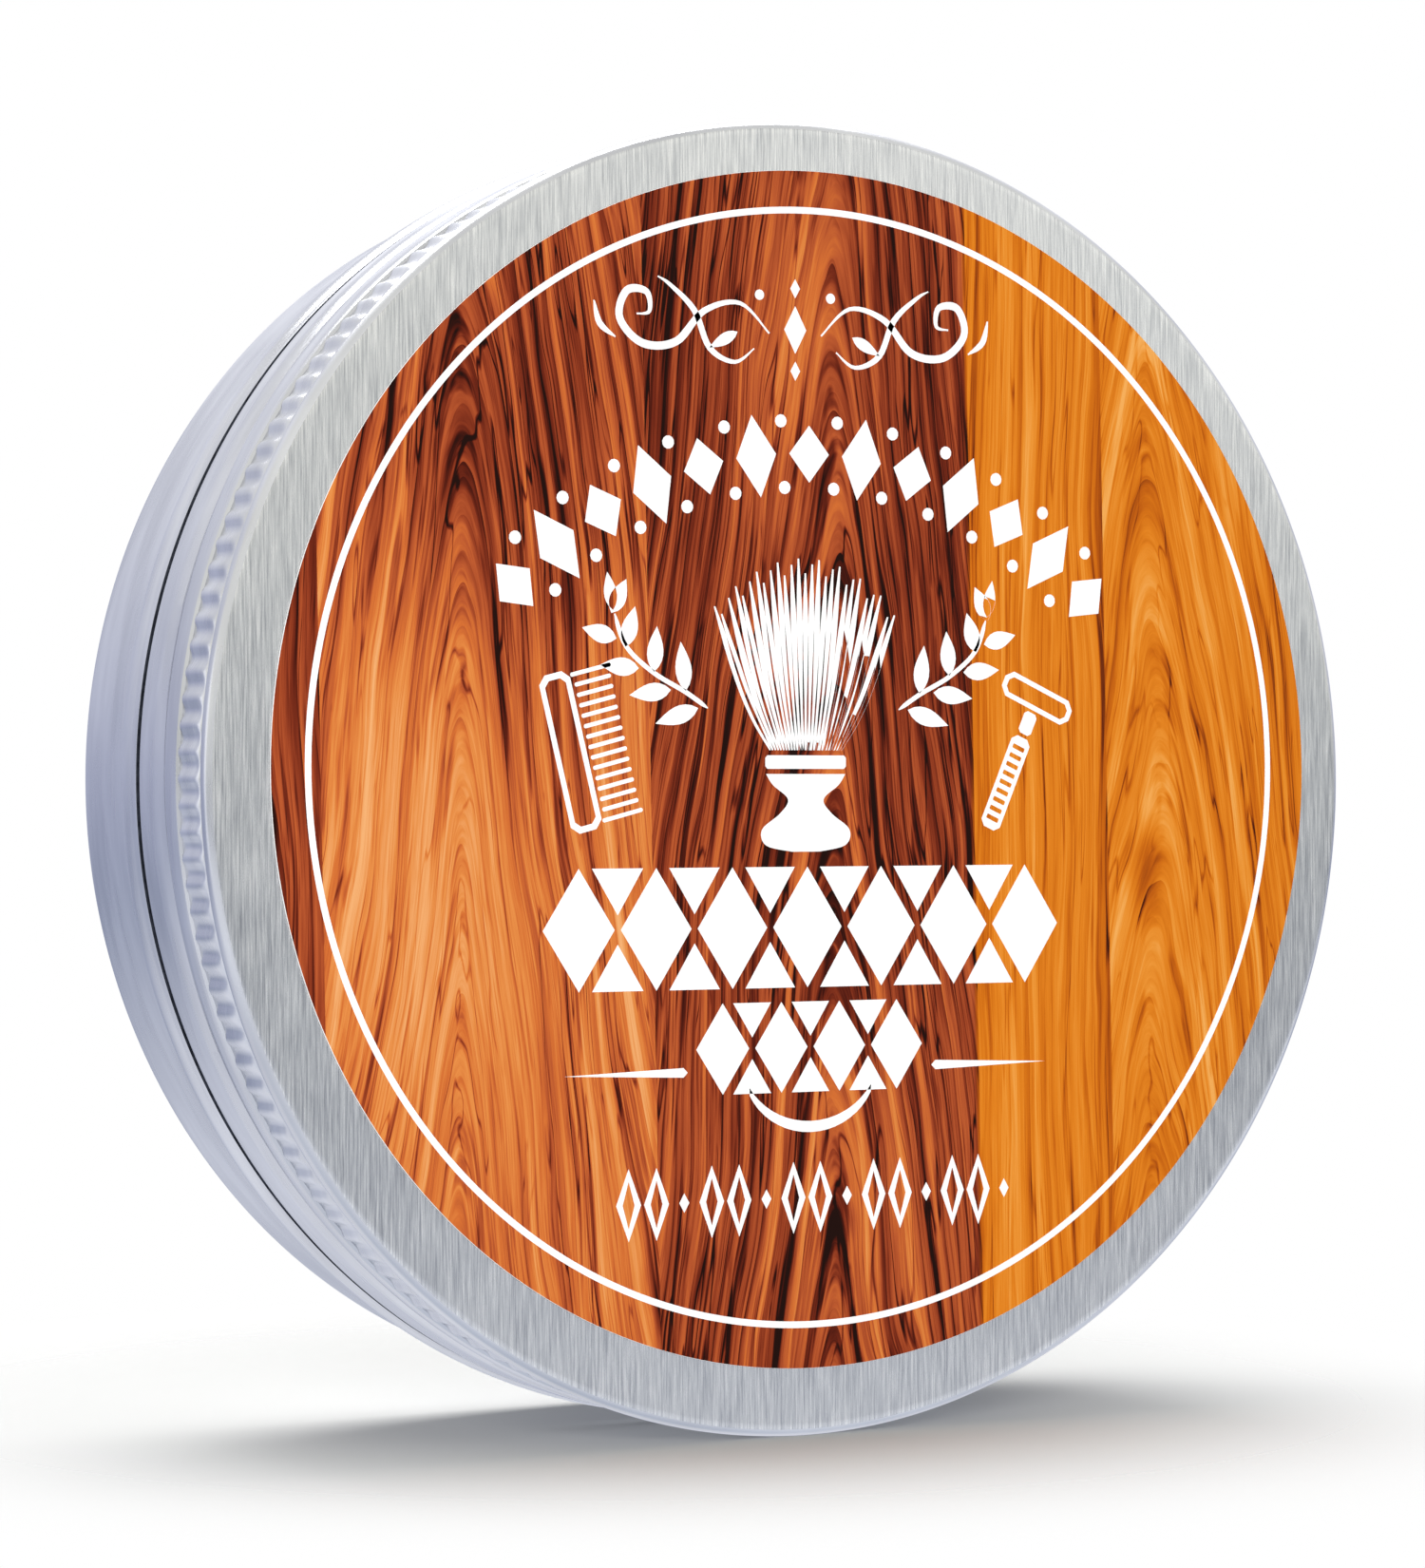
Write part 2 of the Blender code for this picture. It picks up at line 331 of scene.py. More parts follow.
def painted_groove_shade():
    """The groove behind the stop bead: dark grey and dull, a painted shade standing in for the shadow in the
    gap under the lid's hem.
    """
    mat, tree, shader = new_material("groove_painted_shade")
    shade_mottle = stretched_noise(tree, millimetres(tree), (1.2, 1.2, 1.2), 3.0, 0.6)
    shade = add(tree, "ShaderNodeValToRGB", {0: shade_mottle})
    # Mottled dark grey: painted shade for the gap, not the metal's own colour
    tree.links.new(set_ramp(shade, [(0.35, "#282B33"), (0.65, "#444852")]), shader.inputs["Base Color"])
    shader.inputs["Roughness"].default_value = 0.6
    shader.inputs["Metallic"].default_value = 1.0
    return mat


# Boards of the wood print, from left to right: right-hand edge in mm, basic tone from 0 dark to
# 1 light, middle line of the board's arches, and how steep the arches are (0 is a straight grain).
BOARDS = [
    (-34.3, 0.42, -45.0, 0.0),
    (-11.8, 0.66, -25.5, 0.5),
    (12.0, 0.47, 1.5, 0.6),
    (22.3, 0.76, 40.0, 0.0),
    (40.0, 0.80, 25.5, 0.45),
]
BOARDS_SPAN = 80.0

# Lighter and darker areas of the print: centre, half width and half height in mm, change of tone
PATCHES = [
    (-28.0, -7.0, 8.0, 17.0, 0.20),
    (-21.0, 24.0, 14.0, 15.0, -0.20),
    (-19.0, 8.0, 5.0, 14.0, -0.08),
    (-13.5, -10.0, 3.5, 26.0, 0.10),
    (-1.0, 26.0, 4.0, 14.0, 0.16),
    (4.0, -28.0, 9.0, 15.0, 0.12),
    (8.5, 10.0, 3.5, 22.0, -0.07),
    (36.0, 6.0, 3.0, 20.0, -0.10),
    (25.5, -6.0, 1.3, 3.0, -0.30),
]
RING_SPACING = 8.0        # mm between two arches, along their middle line
ARCH_STEEPNESS = 14.0     # rise of an arch's sides, for a board whose last number is 1


def wood_print():
    """Film printed with oiled teak boards, under a thin satin varnish."""
    mat, tree, shader = new_material("wood_printed_film")
    where = millimetres(tree)
    parts = add(tree, "ShaderNodeSeparateXYZ", {0: where})
    x, y = parts.outputs[0], parts.outputs[1]

    def shifted(value, noise, reach):
        """A coordinate that wanders by a noise, up to half of `reach` each way."""
        return maths(tree, "MULTIPLY_ADD", maths(tree, "SUBTRACT", noise, 0.5), reach, value)

    # The grain leans and wanders in long sweeps.
    x_grain = shifted(x, stretched_noise(tree, where, (0.045, 0.016, 1.0), 2.0), 9.0)
    x_grain = shifted(x_grain, stretched_noise(tree, where, (0.22, 0.045, 1.0), 2.0, 0.5, (4, 9, 0)), 1.6)

    # Which board a place belongs to; the joints lean a little.
    lean = maths(tree, "MULTIPLY_ADD", y, 0.018, x)
    across = maths(tree, "DIVIDE", maths(tree, "ADD", lean, BOARDS_SPAN / 2), BOARDS_SPAN)
    stops = []
    left = 0.0
    for edge, tone, middle, steep in BOARDS:
        stops.append((left, (tone, (middle + BOARDS_SPAN / 2) / BOARDS_SPAN, steep, 1.0)))
        left = (edge + BOARDS_SPAN / 2) / BOARDS_SPAN
    board = add(tree, "ShaderNodeValToRGB", {0: across})
    facts = add(tree, "ShaderNodeSeparateColor", {0: set_ramp(board, stops, "CONSTANT")})
    tone, middle, steep = facts.outputs[0], facts.outputs[1], facts.outputs[2]

    # Growth rings cut at a slant make nested arches, rounded at the top and straight down the sides.
    middle_x = maths(tree, "MULTIPLY_ADD", middle, BOARDS_SPAN, -BOARDS_SPAN / 2)
    off = maths(tree, "SUBTRACT", x_grain, middle_x)
    arch = maths(tree, "SQRT", maths(tree, "MULTIPLY_ADD", off, off, 2.5))
    grain_step = maths(tree, "MULTIPLY", steep, ARCH_STEEPNESS)
    leaning = maths(tree, "ADD", arch, maths(tree, "DIVIDE", y, maths(tree, "MAXIMUM", grain_step, 1.0)))
    arch = maths(tree, "MULTIPLY", arch, grain_step)
    is_arched = share_of(tree, steep, 0.0, 0.3, 0.0, 1.0)
    along = maths(tree, "MULTIPLY", y, share_of(tree, is_arched, 0.0, 1.0, 0.06, 1.0))
    straight = maths(tree, "MULTIPLY", x_grain, share_of(tree, is_arched, 0.0, 1.0, 5.0, 0.0))
    ring = maths(tree, "ADD", maths(tree, "ADD", arch, along), straight)
    ring = maths(tree, "DIVIDE", ring, RING_SPACING)
    ring = maths(tree, "MULTIPLY_ADD", tone, 37.0, ring)
    ring = shifted(ring, stretched_noise(tree, where, (0.08, 0.022, 1.0), 2.0, 0.5, (2, 7, 0)), 1.8)
    ring = shifted(ring, stretched_noise(tree, where, (0.5, 0.05, 1.0), 2.0, 0.5, (6, 1, 0)), 0.35)
    bands = add(tree, "ShaderNodeTexNoise", {"W": maths(tree, "MULTIPLY", ring, 0.8), "Scale": 1.0,
                                             "Detail": 2.0, "Roughness": 0.5},
                noise_dimensions="1D").outputs["Fac"]
    late_wood = maths(tree, "POWER", maths(tree, "FRACT", ring), 5.0)
    fine_rings = maths(tree, "POWER", maths(tree, "FRACT", maths(tree, "MULTIPLY", ring, 3.3)), 4.0)

    # Fibres, pores and dark mineral streaks follow the wandering grain.
    side = maths(tree, "MULTIPLY_ADD", off, 0.3, maths(tree, "MULTIPLY", tone, 50.0))
    follow = add(tree, "ShaderNodeMix", {0: is_arched, 2: x_grain, 3: leaning}).outputs[0]
    grain_place = add(tree, "ShaderNodeCombineXYZ", {0: follow, 1: y, 2: side}).outputs[0]
    fibres = stretched_noise(tree, grain_place, (1.9, 0.022, 1.0), 4.0, 0.6)
    fine = stretched_noise(tree, grain_place, (9.0, 0.16, 1.0), 3.0, 0.6, (5, 2, 0))
    streaks = stretched_noise(tree, grain_place, (1.5, 0.026, 1.0), 3.0, 0.5, (1, 6, 3))
    lines = stretched_noise(tree, grain_place, (0.75, 0.020, 1.0), 2.0, 0.5, (3, 3, 8))
    pores = stretched_noise(tree, grain_place, (5.0, 0.12, 1.0), 2.0, 0.5, (8, 1, 5))
    broken = stretched_noise(tree, where, (0.3, 0.09, 1.0), 3.0, 0.55, (9, 4, 2))

    level = shifted(tone, bands, 0.60)
    level = shifted(level, fibres, 0.48)
    level = shifted(level, fine, 0.34)
    for px, py, half_width, half_height, change in PATCHES:
        away = add(tree, "ShaderNodeMapping", {"Vector": where,
                                               "Location": (-px / half_width, -py / half_height, 0),
                                               "Scale": (1 / half_width, 1 / half_height, 0)})
        distance = add(tree, "ShaderNodeVectorMath", {0: away.outputs[0]},
                       operation="LENGTH").outputs["Value"]
        near = share_of(tree, distance, 1.6, 0.0, 0.0, 1.0, "SMOOTHSTEP")
        level = maths(tree, "MULTIPLY_ADD", near, change, level)

    line_place = maths(tree, "ABSOLUTE", maths(tree, "SUBTRACT", lines, 0.5))
    hairline = maths(tree, "MULTIPLY", share_of(tree, line_place, 0.0, 0.014, 1.0, 0.0),
                     share_of(tree, broken, 0.42, 0.54, 0.0, 1.0))
    darker = maths(tree, "SUBTRACT", 1.15, level)
    for mark, depth in ((late_wood, 0.42), (fine_rings, 0.14), (hairline, 0.75),
                        (share_of(tree, streaks, 0.58, 0.66, 0.0, 1.0), 0.60),
                        (share_of(tree, pores, 0.57, 0.70, 0.0, 1.0), 0.30)):
        drop = maths(tree, "MULTIPLY", maths(tree, "MULTIPLY", mark, depth), darker)
        level = maths(tree, "SUBTRACT", level, drop)

    # A dark hairline where two boards meet
    for edge, *_ in BOARDS[:-1]:
        joint = maths(tree, "ABSOLUTE", maths(tree, "SUBTRACT", lean, edge))
        level = maths(tree, "SUBTRACT", level, share_of(tree, joint, 0.0, 0.3, 0.10, 0.0))

    # Redder teak to the left of the third joint, and golden teak to the right of it
    red = set_ramp(add(tree, "ShaderNodeValToRGB", {0: level}),
                   [(0.00, "#1C0A06"), (0.14, "#45140A"), (0.28, "#6B2513"), (0.40, "#8E3A1E"),
                    (0.52, "#AF522A"), (0.64, "#C9692F"), (0.78, "#D98541"), (0.96, "#E5A56B")])
    gold = set_ramp(add(tree, "ShaderNodeValToRGB", {0: level}),
                    [(0.00, "#1E0D06"), (0.20, "#5E220A"), (0.36, "#9A450B"), (0.50, "#B95A0D"),
                     (0.62, "#CB6C12"), (0.74, "#D97C1C"), (0.86, "#E28D30"), (1.0, "#EBA655")])
    golden = share_of(tree, lean, BOARDS[2][0] - 0.1, BOARDS[2][0] + 0.1, 0.0, 1.0)
    colour = mixed(tree, golden, red, gold)
    bump = add(tree, "ShaderNodeBump", {"Height": fine, "Strength": 0.05, "Distance": 0.01 * MM})
    tree.links.new(colour, shader.inputs["Base Color"])
    tree.links.new(bump.outputs[0], shader.inputs["Normal"])
    shader.inputs["Roughness"].default_value = 0.5
    shader.inputs["Specular IOR Level"].default_value = 0.06
    return mat


def screen_ink():
    """White screen-printing ink: opaque and matt, with a faint mottle from the mesh."""
    mat, tree, shader = new_material("white_screen_ink")
    mottle = stretched_noise(tree, millimetres(tree), (6.0, 6.0, 6.0), 2.0)
    shade = add(tree, "ShaderNodeValToRGB", {0: mottle})
    tree.links.new(set_ramp(shade, [(0.3, "#F6F5F2"), (0.7, "#FFFFFE")]), shader.inputs["Base Color"])
    bump = add(tree, "ShaderNodeBump", {"Height": mottle, "Strength": 0.1, "Distance": 0.01 * MM})
    tree.links.new(bump.outputs[0], shader.inputs["Normal"])
    shader.inputs["Roughness"].default_value = 0.5
    shader.inputs["Specular IOR Level"].default_value = 0.3
    return mat


def hard_soap():
    """Milled tallow soap, pressed: cream, waxy and slightly see-through, with faint mill swirls."""
    mat, tree, shader = new_material("milled_soap")
    where = millimetres(tree)
    swirl = stretched_noise(tree, where, (0.10, 0.16, 0.2), 3.0, 0.5)
    pits = stretched_noise(tree, where, (1.8, 1.8, 1.8), 3.0, 0.6)
    shade = add(tree, "ShaderNodeValToRGB", {0: swirl})
    tree.links.new(set_ramp(shade, [(0.3, "#EADFC6"), (0.5, "#F1E8D3"), (0.7, "#F6EFDF")]),
                   shader.inputs["Base Color"])
    rough = share_of(tree, pits, 0.3, 0.7, 0.38, 0.55)
    tree.links.new(rough, shader.inputs["Roughness"])
    bump = add(tree, "ShaderNodeBump", {"Height": pits, "Strength": 0.25, "Distance": 0.08 * MM})
    tree.links.new(bump.outputs[0], shader.inputs["Normal"])
    shader.inputs["IOR"].default_value = 1.46
    shader.inputs["Subsurface Weight"].default_value = 0.35
    shader.inputs["Subsurface Radius"].default_value = (1.0, 0.7, 0.4)
    shader.inputs["Subsurface Scale"].default_value = 2.0 * MM
    return mat


def foam():
    """Closed-cell polyethylene foam: matt white, with cells of about 0.4 mm."""
    mat, tree, shader = new_material("polyethylene_foam")
    where = millimetres(tree)
    cells = add(tree, "ShaderNodeTexVoronoi", {"Vector": where, "Scale": 2.5}).outputs["Distance"]
    shade = add(tree, "ShaderNodeValToRGB", {0: cells})
    tree.links.new(set_ramp(shade, [(0.0, "#E2E2DF"), (0.5, "#F4F4F2")]), shader.inputs["Base Color"])
    bump = add(tree, "ShaderNodeBump", {"Height": cells, "Strength": 0.4, "Distance": 0.1 * MM})
    tree.links.new(bump.outputs[0], shader.inputs["Normal"])
    shader.inputs["Roughness"].default_value = 0.85
    return mat


# ---------------------------------------------------------------------------------------------
# The pieces
# ---------------------------------------------------------------------------------------------

def lid_shell(top_metal, side_metal):
    """The lid: one sheet over the top, round the lip, down the knurl and skirt, and folded under."""
    lip = (LID_RADIUS - LIP_ROUND, LID_TOP - LIP_ROUND)
    knurl_end = 0.45
    fold = HEM / 2
    skirt_top = KNURL_BOTTOM - 0.55
    outline = [(0, LID_TOP), (30, LID_TOP), (39, LID_TOP), (lip[0] - 0.25, LID_TOP)]
    outline += arc(lip, (LIP_ROUND, LIP_ROUND), 90, -40, 10)
    outline += [(RECESS_RADIUS + 0.08, KNURL_TOP + 0.72), (RECESS_RADIUS, KNURL_TOP + 0.45)]
    outline += [(RECESS_RADIUS, KNURL_TOP + 0.2), (KNURL_ROOT - 0.1, KNURL_TOP + 0.05)]
    outline += rows(KNURL_ROOT, KNURL_TOP - 0.1, KNURL_TOP - knurl_end, 0.2)
    outline += [(KNURL_ROOT, (KNURL_TOP + KNURL_BOTTOM) / 2)]
    outline += rows(KNURL_ROOT, KNURL_BOTTOM + knurl_end, KNURL_BOTTOM + 0.1, 0.2)
    outline += [(KNURL_ROOT + 0.02, KNURL_BOTTOM - 0.02), (SKIRT_RADIUS - 0.08, KNURL_BOTTOM - 0.12)]
    outline += [(SKIRT_RADIUS - 0.02, KNURL_BOTTOM - 0.25)]
    outline += rows(SKIRT_RADIUS, skirt_top, SKIRT_BOTTOM + 0.4, 0.42)
    outline += arc((SKIRT_RADIUS - fold, SKIRT_BOTTOM + 0.2), (fold, 0.2), 0, -180, 6)
    outline += [(SKIRT_RADIUS - HEM, SKIRT_BOTTOM + 1.1)]
    piece = turn("lid_shell", outline, LID_STEPS)
    face_outwards(piece, 1)

    def knurl(place):
        z = place.z / MM
        if not on_wall(place, KNURL_ROOT):
            return 0
        ends = min((KNURL_TOP - z) / knurl_end, (z - KNURL_BOTTOM) / (knurl_end * 0.6))
        ridge = 0.5 + 0.5 * math.cos(math.atan2(place.y, place.x) * KNURL_RIDGES)
        return ridge * max(0.0, min(1.0, ends))

    def thread(place):
        if not on_wall(place, SKIRT_RADIUS):
            return 0
        return helix(place, math.radians(-20), THREAD_START, 0.85, 1.5)

    roll_in(piece, "knurl", KNURL_HEIGHT, knurl)
    roll_in(piece, "thread", -0.3, thread)
    give_thickness(piece, SHEET)
    finish_piece(piece, [top_metal, side_metal], "lid", "lid")
    for face in piece.data.polygons:
        flat_top = face.normal.z > 0.97 and face.center.z > (LID_TOP - SHEET / 2) * MM
        face.material_index = 0 if flat_top else 1


def tin_shell(metal, shade_painted_metal):
    """The tin: bottom panel, foot ring, wall, stop bead, threaded neck and a rim curled inwards."""
    foot = (WALL_RADIUS - FOOT_ROUND, FOOT_ROUND)
    curl = (NECK_RADIUS - RIM_ROUND, RIM_TOP - RIM_ROUND)
    outline = [(0, PANEL_RISE), (20, PANEL_RISE), (FOOT_RING_INNER - 0.75, PANEL_RISE)]
    outline += [(FOOT_RING_INNER - 0.45, PANEL_RISE - 0.1), (FOOT_RING_INNER - 0.15, 0.08)]
    outline += [(FOOT_RING_INNER + 0.15, 0)]
    outline += arc(foot, (FOOT_ROUND, FOOT_ROUND), -90, 0, 8)
    bead_foot = BEAD_CENTRE[1] - BEAD_SIZE[1]
    outline += [(WALL_RADIUS, bead_foot - 0.4), (WALL_RADIUS, bead_foot - 0.15)]
    outline += arc(BEAD_CENTRE, BEAD_SIZE, -84, 35, 16)
    shoulder = (SHOULDER_RADIUS - SHOULDER_ROUND, SHOULDER_TOP - SHOULDER_ROUND)
    outline += arc(shoulder, (SHOULDER_ROUND, SHOULDER_ROUND), 20, 90, 5)
    outline += [(SHOULDER_RADIUS - 0.35, SHOULDER_TOP - 0.2), (SHOULDER_RADIUS - 0.7, SHOULDER_TOP - 0.65)]
    outline += [(NECK_RADIUS + 0.5, SHOULDER_TOP - 0.7), (NECK_RADIUS + 0.1, SHOULDER_TOP - 0.4)]
    outline += rows(NECK_RADIUS, NECK_BOTTOM, RIM_TOP - 2.2 * RIM_ROUND, 0.3)
    outline += arc(curl, (RIM_ROUND, RIM_ROUND), 0, 300, 14)
    piece = turn("tin_shell", outline, TIN_STEPS)
    face_outwards(piece, -1)

    def thread(place):
        if not on_wall(place, NECK_RADIUS) or place.z / MM > RIM_TOP - 1.05:
            return 0
        return helix(place, 0.0, THREAD_START, 1.2, 2.2)

    roll_in(piece, "thread", 0.75, thread)
    give_thickness(piece, SHEET)
    finish_piece(piece, [metal, shade_painted_metal], "tin", "tin_base")
    # Faces in the groove under the ledge, beside the neck, get the painted shade material
    for face in piece.data.polygons:
        x, y, z = (value / MM for value in face.center)
        low_enough = SHOULDER_TOP - PAINTED_SHADE_DEPTH < z < SHOULDER_TOP + 0.02
        in_painted_shade = low_enough and math.hypot(x, y) < SHOULDER_RADIUS - 0.05
        face.material_index = 1 if in_painted_shade else 0


def soap_cake(soap):
    """The puck: pressed with rounded edges and a shallow dish in its face."""
    dish = 0.45
    outline = [(0, PUCK_BOTTOM), (15, PUCK_BOTTOM)]
    outline += arc((PUCK_RADIUS - 0.6, PUCK_BOTTOM + 0.6), (0.6, 0.6), -90, 0, 5)
    outline += arc((PUCK_RADIUS - 1.6, PUCK_TOP - 1.6), (1.6, 1.6), 0, 90, 10)
    outline += arc((PUCK_RADIUS - 5.0, PUCK_TOP - 1.4), (1.4, 1.4), 90, 132, 5)
    outline += [(PUCK_RADIUS - 7.2, PUCK_TOP - dish - 0.1), (PUCK_RADIUS - 9.5, PUCK_TOP - dish - 0.2)]
    outline += [(15, PUCK_TOP - dish - 0.1), (0, PUCK_TOP - dish)]
    piece = turn("soap_cake", outline, 180)
    finish_piece(piece, [soap], "tin", "soap_puck", 50)


def foam_liner(material):
    """The die-cut foam disc, with edges crushed round by the cutter and a ring pressed by the rim."""
    edge = 0.25
    ring = NECK_RADIUS - RIM_ROUND
    outline = [(0, LINER_BOTTOM), (ring - 1.0, LINER_BOTTOM), (ring - 0.5, LINER_BOTTOM + 0.12)]
    outline += [(ring + 0.2, LINER_BOTTOM + 0.12)]
    outline += arc((LINER_RADIUS - edge, LINER_BOTTOM + edge), (edge, edge), -90, 0, 4)
    outline += arc((LINER_RADIUS - edge, LINER_TOP - edge), (edge, edge), 0, 90, 4)
    outline += [(0, LINER_TOP)]
    piece = turn("foam_liner", outline, 240)
    finish_piece(piece, [material], "liner", "lid_liner")


def label_film(printed, ink):
    """The round label, die cut, with a bare white edge."""
    top = LABEL_TOP - INK
    bottom = top - FILM
    bevel = 0.015
    outline = [(0, bottom), (LABEL_RADIUS, bottom), (LABEL_RADIUS, top - bevel)]
    outline += [(LABEL_RADIUS - bevel, top), (0, top)]
    piece = turn("label_film", outline, DISC_STEPS, LABEL_CENTRE)
    finish_piece(piece, [printed, ink], "lid", "top_label")
    for face in piece.data.polygons:
        face.material_index = 0 if face.normal.z > 0.9 else 1


def print_ring(ink):
    """The thin white ring round the label."""
    inner, outer = RING_RADII
    bottom = LABEL_TOP - INK - INK_GRIP
    outline = [(inner, bottom), (outer, bottom), (outer, LABEL_TOP), (inner, LABEL_TOP), (inner, bottom)]
    piece = turn("print_ring", outline, DISC_STEPS, RING_CENTRE)
    finish_piece(piece, [ink], "lid", None)


# ---------------------------------------------------------------------------------------------
# The white print: flat shapes in millimetres on the label's face
# ---------------------------------------------------------------------------------------------

def mirrored(outline):
    return [(-x, y) for x, y in reversed(outline)]


def placed(outline, x=0.0, y=0.0, angle=0.0, size=1.0):
    """An outline turned by an angle in degrees, scaled, and moved."""
    c, s = math.cos(math.radians(angle)) * size, math.sin(math.radians(angle)) * size
    return [(x + px * c - py * s, y + px * s + py * c) for px, py in outline]


def smooth(points, steps=8):
    """A smooth curve through the points (Catmull-Rom)."""
    ends = [points[0]] + list(points) + [points[-1]]
    curve = []
    for a, b, c, d in zip(ends, ends[1:], ends[2:], ends[3:]):
        for i in range(steps):
            t = i / steps
            curve.append(tuple(0.5 * (2 * q + (r - p) * t + (2 * p - 5 * q + 4 * r - s) * t * t
                                      + (3 * q - p - 3 * r + s) * t ** 3)
                               for p, q, r, s in zip(a, b, c, d)))
    return curve + [tuple(points[-1])]


def stroke(points, width, taper=0.25):
    """The outline of a pen stroke along a curve; taper is how much of each end narrows to a point."""
    last = len(points) - 1
    left, right = [], []
    for i, (x, y) in enumerate(points):
        before, after = points[max(0, i - 1)], points[min(last, i + 1)]
        away = Vector((after[0] - before[0], after[1] - before[1])).normalized()
        share = i / last
        half = width / 2
        if taper:
            half *= max(0.12, min(1.0, share / taper, (1 - share) / taper)) ** 0.7
        left.append((x - away.y * half, y + away.x * half))
        right.append((x + away.y * half, y - away.x * half))
    return left + right[::-1]


def lozenge(width, height):
    """A diamond, with a point halfway along each side."""
    x, y = width / 2, height / 2
    return [(x, 0), (x / 2, y / 2), (0, y), (-x / 2, y / 2),
            (-x, 0), (-x / 2, -y / 2), (0, -y), (x / 2, -y / 2)]


def block(width, height, corner):
    """An upright block with cut corners."""
    x, y = width / 2, height / 2
    return [(x, y - corner), (x - corner, y), (corner - x, y), (-x, y - corner),
            (-x, corner - y), (corner - x, -y), (x - corner, -y), (x, corner - y)]


def leaf(length, width):
    """A leaf from (0, 0) along +X."""
    bulge = [(t / 8, math.sin(math.pi * (t / 8) ** 0.8)) for t in range(9)]
    upper = [(length * t, width / 2 * h) for t, h in bulge]
    return upper + [(x, -y) for x, y in reversed(upper[1:-1])]


def circle(radius, steps=24):
    return arc((0, 0), (radius, radius), 0, 360 - 360 / steps, steps - 1)


def print_shapes(name, outlines, ink):
    """Ink as thick as the squeegee leaves it. An outline inside another is a hole."""
    drawing = bpy.data.curves.new(name, "CURVE")
    drawing.dimensions = "2D"
    drawing.fill_mode = "BOTH"
    drawing.extrude = (INK + INK_GRIP) / 2 * MM
    for outline in outlines:
        line = drawing.splines.new("POLY")
        line.points.add(len(outline) - 1)
        for point, (x, y) in zip(line.points, outline):
            point.co = (x * MM, y * MM, 0, 1)
        line.use_cyclic_u = True
    piece = bpy.data.objects.new(name, drawing)
    bpy.context.scene.collection.objects.link(piece)
    deselect()
    piece.select_set(True)
    bpy.context.view_layer.objects.active = piece
    bpy.ops.object.convert(target="MESH")
    piece = bpy.context.active_object
    piece.location = (0, 0, (LABEL_TOP - (INK + INK_GRIP) / 2) * MM)
    bpy.ops.object.transform_apply(location=True, rotation=True, scale=True)
    bpy.ops.object.mode_set(mode="EDIT")
    bpy.ops.mesh.select_all(action="SELECT")
    bpy.ops.mesh.remove_doubles(threshold=1e-7)
    bpy.ops.mesh.normals_make_consistent(inside=False)
    bpy.ops.object.mode_set(mode="OBJECT")
    finish_piece(piece, [ink], "lid", None)


def print_flourish(ink):
    """Two pen scrolls either side of a diamond, at the top of the label."""
    spine = smooth([(1.9, -0.3), (4.0, 1.5), (6.6, 0.9), (8.6, -1.1), (11.0, -1.3), (12.6, 0.2),
                    (12.1, 1.9), (10.7, 1.9), (10.5, 0.7), (11.4, 0.5)], 7)
    loop = smooth([(3.0, -1.3), (4.4, -2.2), (6.2, -1.4), (7.3, 0.9), (9.0, 2.4), (9.9, 2.9)], 6)
    tail = smooth([(12.9, -1.0), (14.0, -0.2), (14.4, 1.2)], 6)
    half = [stroke(spine, 0.5, 0.3), stroke(tail, 0.4, 0.4)]
    half += [placed(leaf(2.3, 0.75), 4.2, -0.3, -28), placed(circle(0.33, 16), 2.6, 2.1)]
    shapes = [lozenge(1.6, 3.0), placed(lozenge(0.7, 1.2), 0, 2.6), placed(lozenge(0.7, 1.2), 0, -2.6)]
    shapes += half + [mirrored(shape) for shape in half]
    wing = [stroke(loop, 0.4, 0.4)]
    wing += [mirrored(shape) for shape in wing]
    print_shapes("print_flourish", [placed(shape, -1.1, 28.3) for shape in shapes], ink)
    print_shapes("print_flourish_wing", [placed(shape, -1.1, 28.3) for shape in wing], ink)


def print_arch(ink):
    """An arch of diamonds, with a dot above and below each gap."""
    shapes = []
    count = 13
    sweep = 90.0
    centre = (-0.1, -9.1)
    for i in range(count):
        angle = sweep / 2 - sweep * i / (count - 1)
        tall = 5.2 if i % 2 else 3.6
        shapes.append(placed(placed(lozenge(2.9, tall), 0, 29.6), *centre, angle))
    for i in range(count - 1):
        angle = sweep / 2 - sweep * (i + 0.5) / (count - 1)
        for height in (27.5, 31.7):
            shapes.append(placed(placed(circle(0.42, 12), 0, height), *centre, angle))
    print_shapes("print_arch", shapes, ink)


def print_brush(ink):
    """A shaving brush: a turned handle, a ferrule and a fan of bristles."""
    profile = smooth([(1.0, -4.6), (2.9, -4.2), (3.2, -3.2), (1.9, -2.2), (1.3, -1.3), (2.4, -0.4),
                      (2.9, 0.3)], 6)
    handle = profile + mirrored(profile)
    ferrule = block(5.9, 0.85, 0.15)
    shapes = [placed(handle, -0.4, 0), placed(ferrule, -0.4, 1.05)]
    bristles = []
    count = 27
    for i in range(count):
        share = 2 * i / (count - 1) - 1
        reach = 12.0 - 3.2 * share ** 2 + (0.35, -0.6, 0.0)[i % 3]
        hair = smooth([(2.6 * share, 1.8), (4.6 * share, 1.8 + reach * 0.4),
                       (6.6 * share, 1.8 + reach * 0.98)], 6)
        bristles.append(placed(stroke(hair, 0.44, 0.3), -0.4, 0))
    print_shapes("print_brush_handle", shapes, ink)
    print_shapes("print_brush_bristles", bristles, ink)


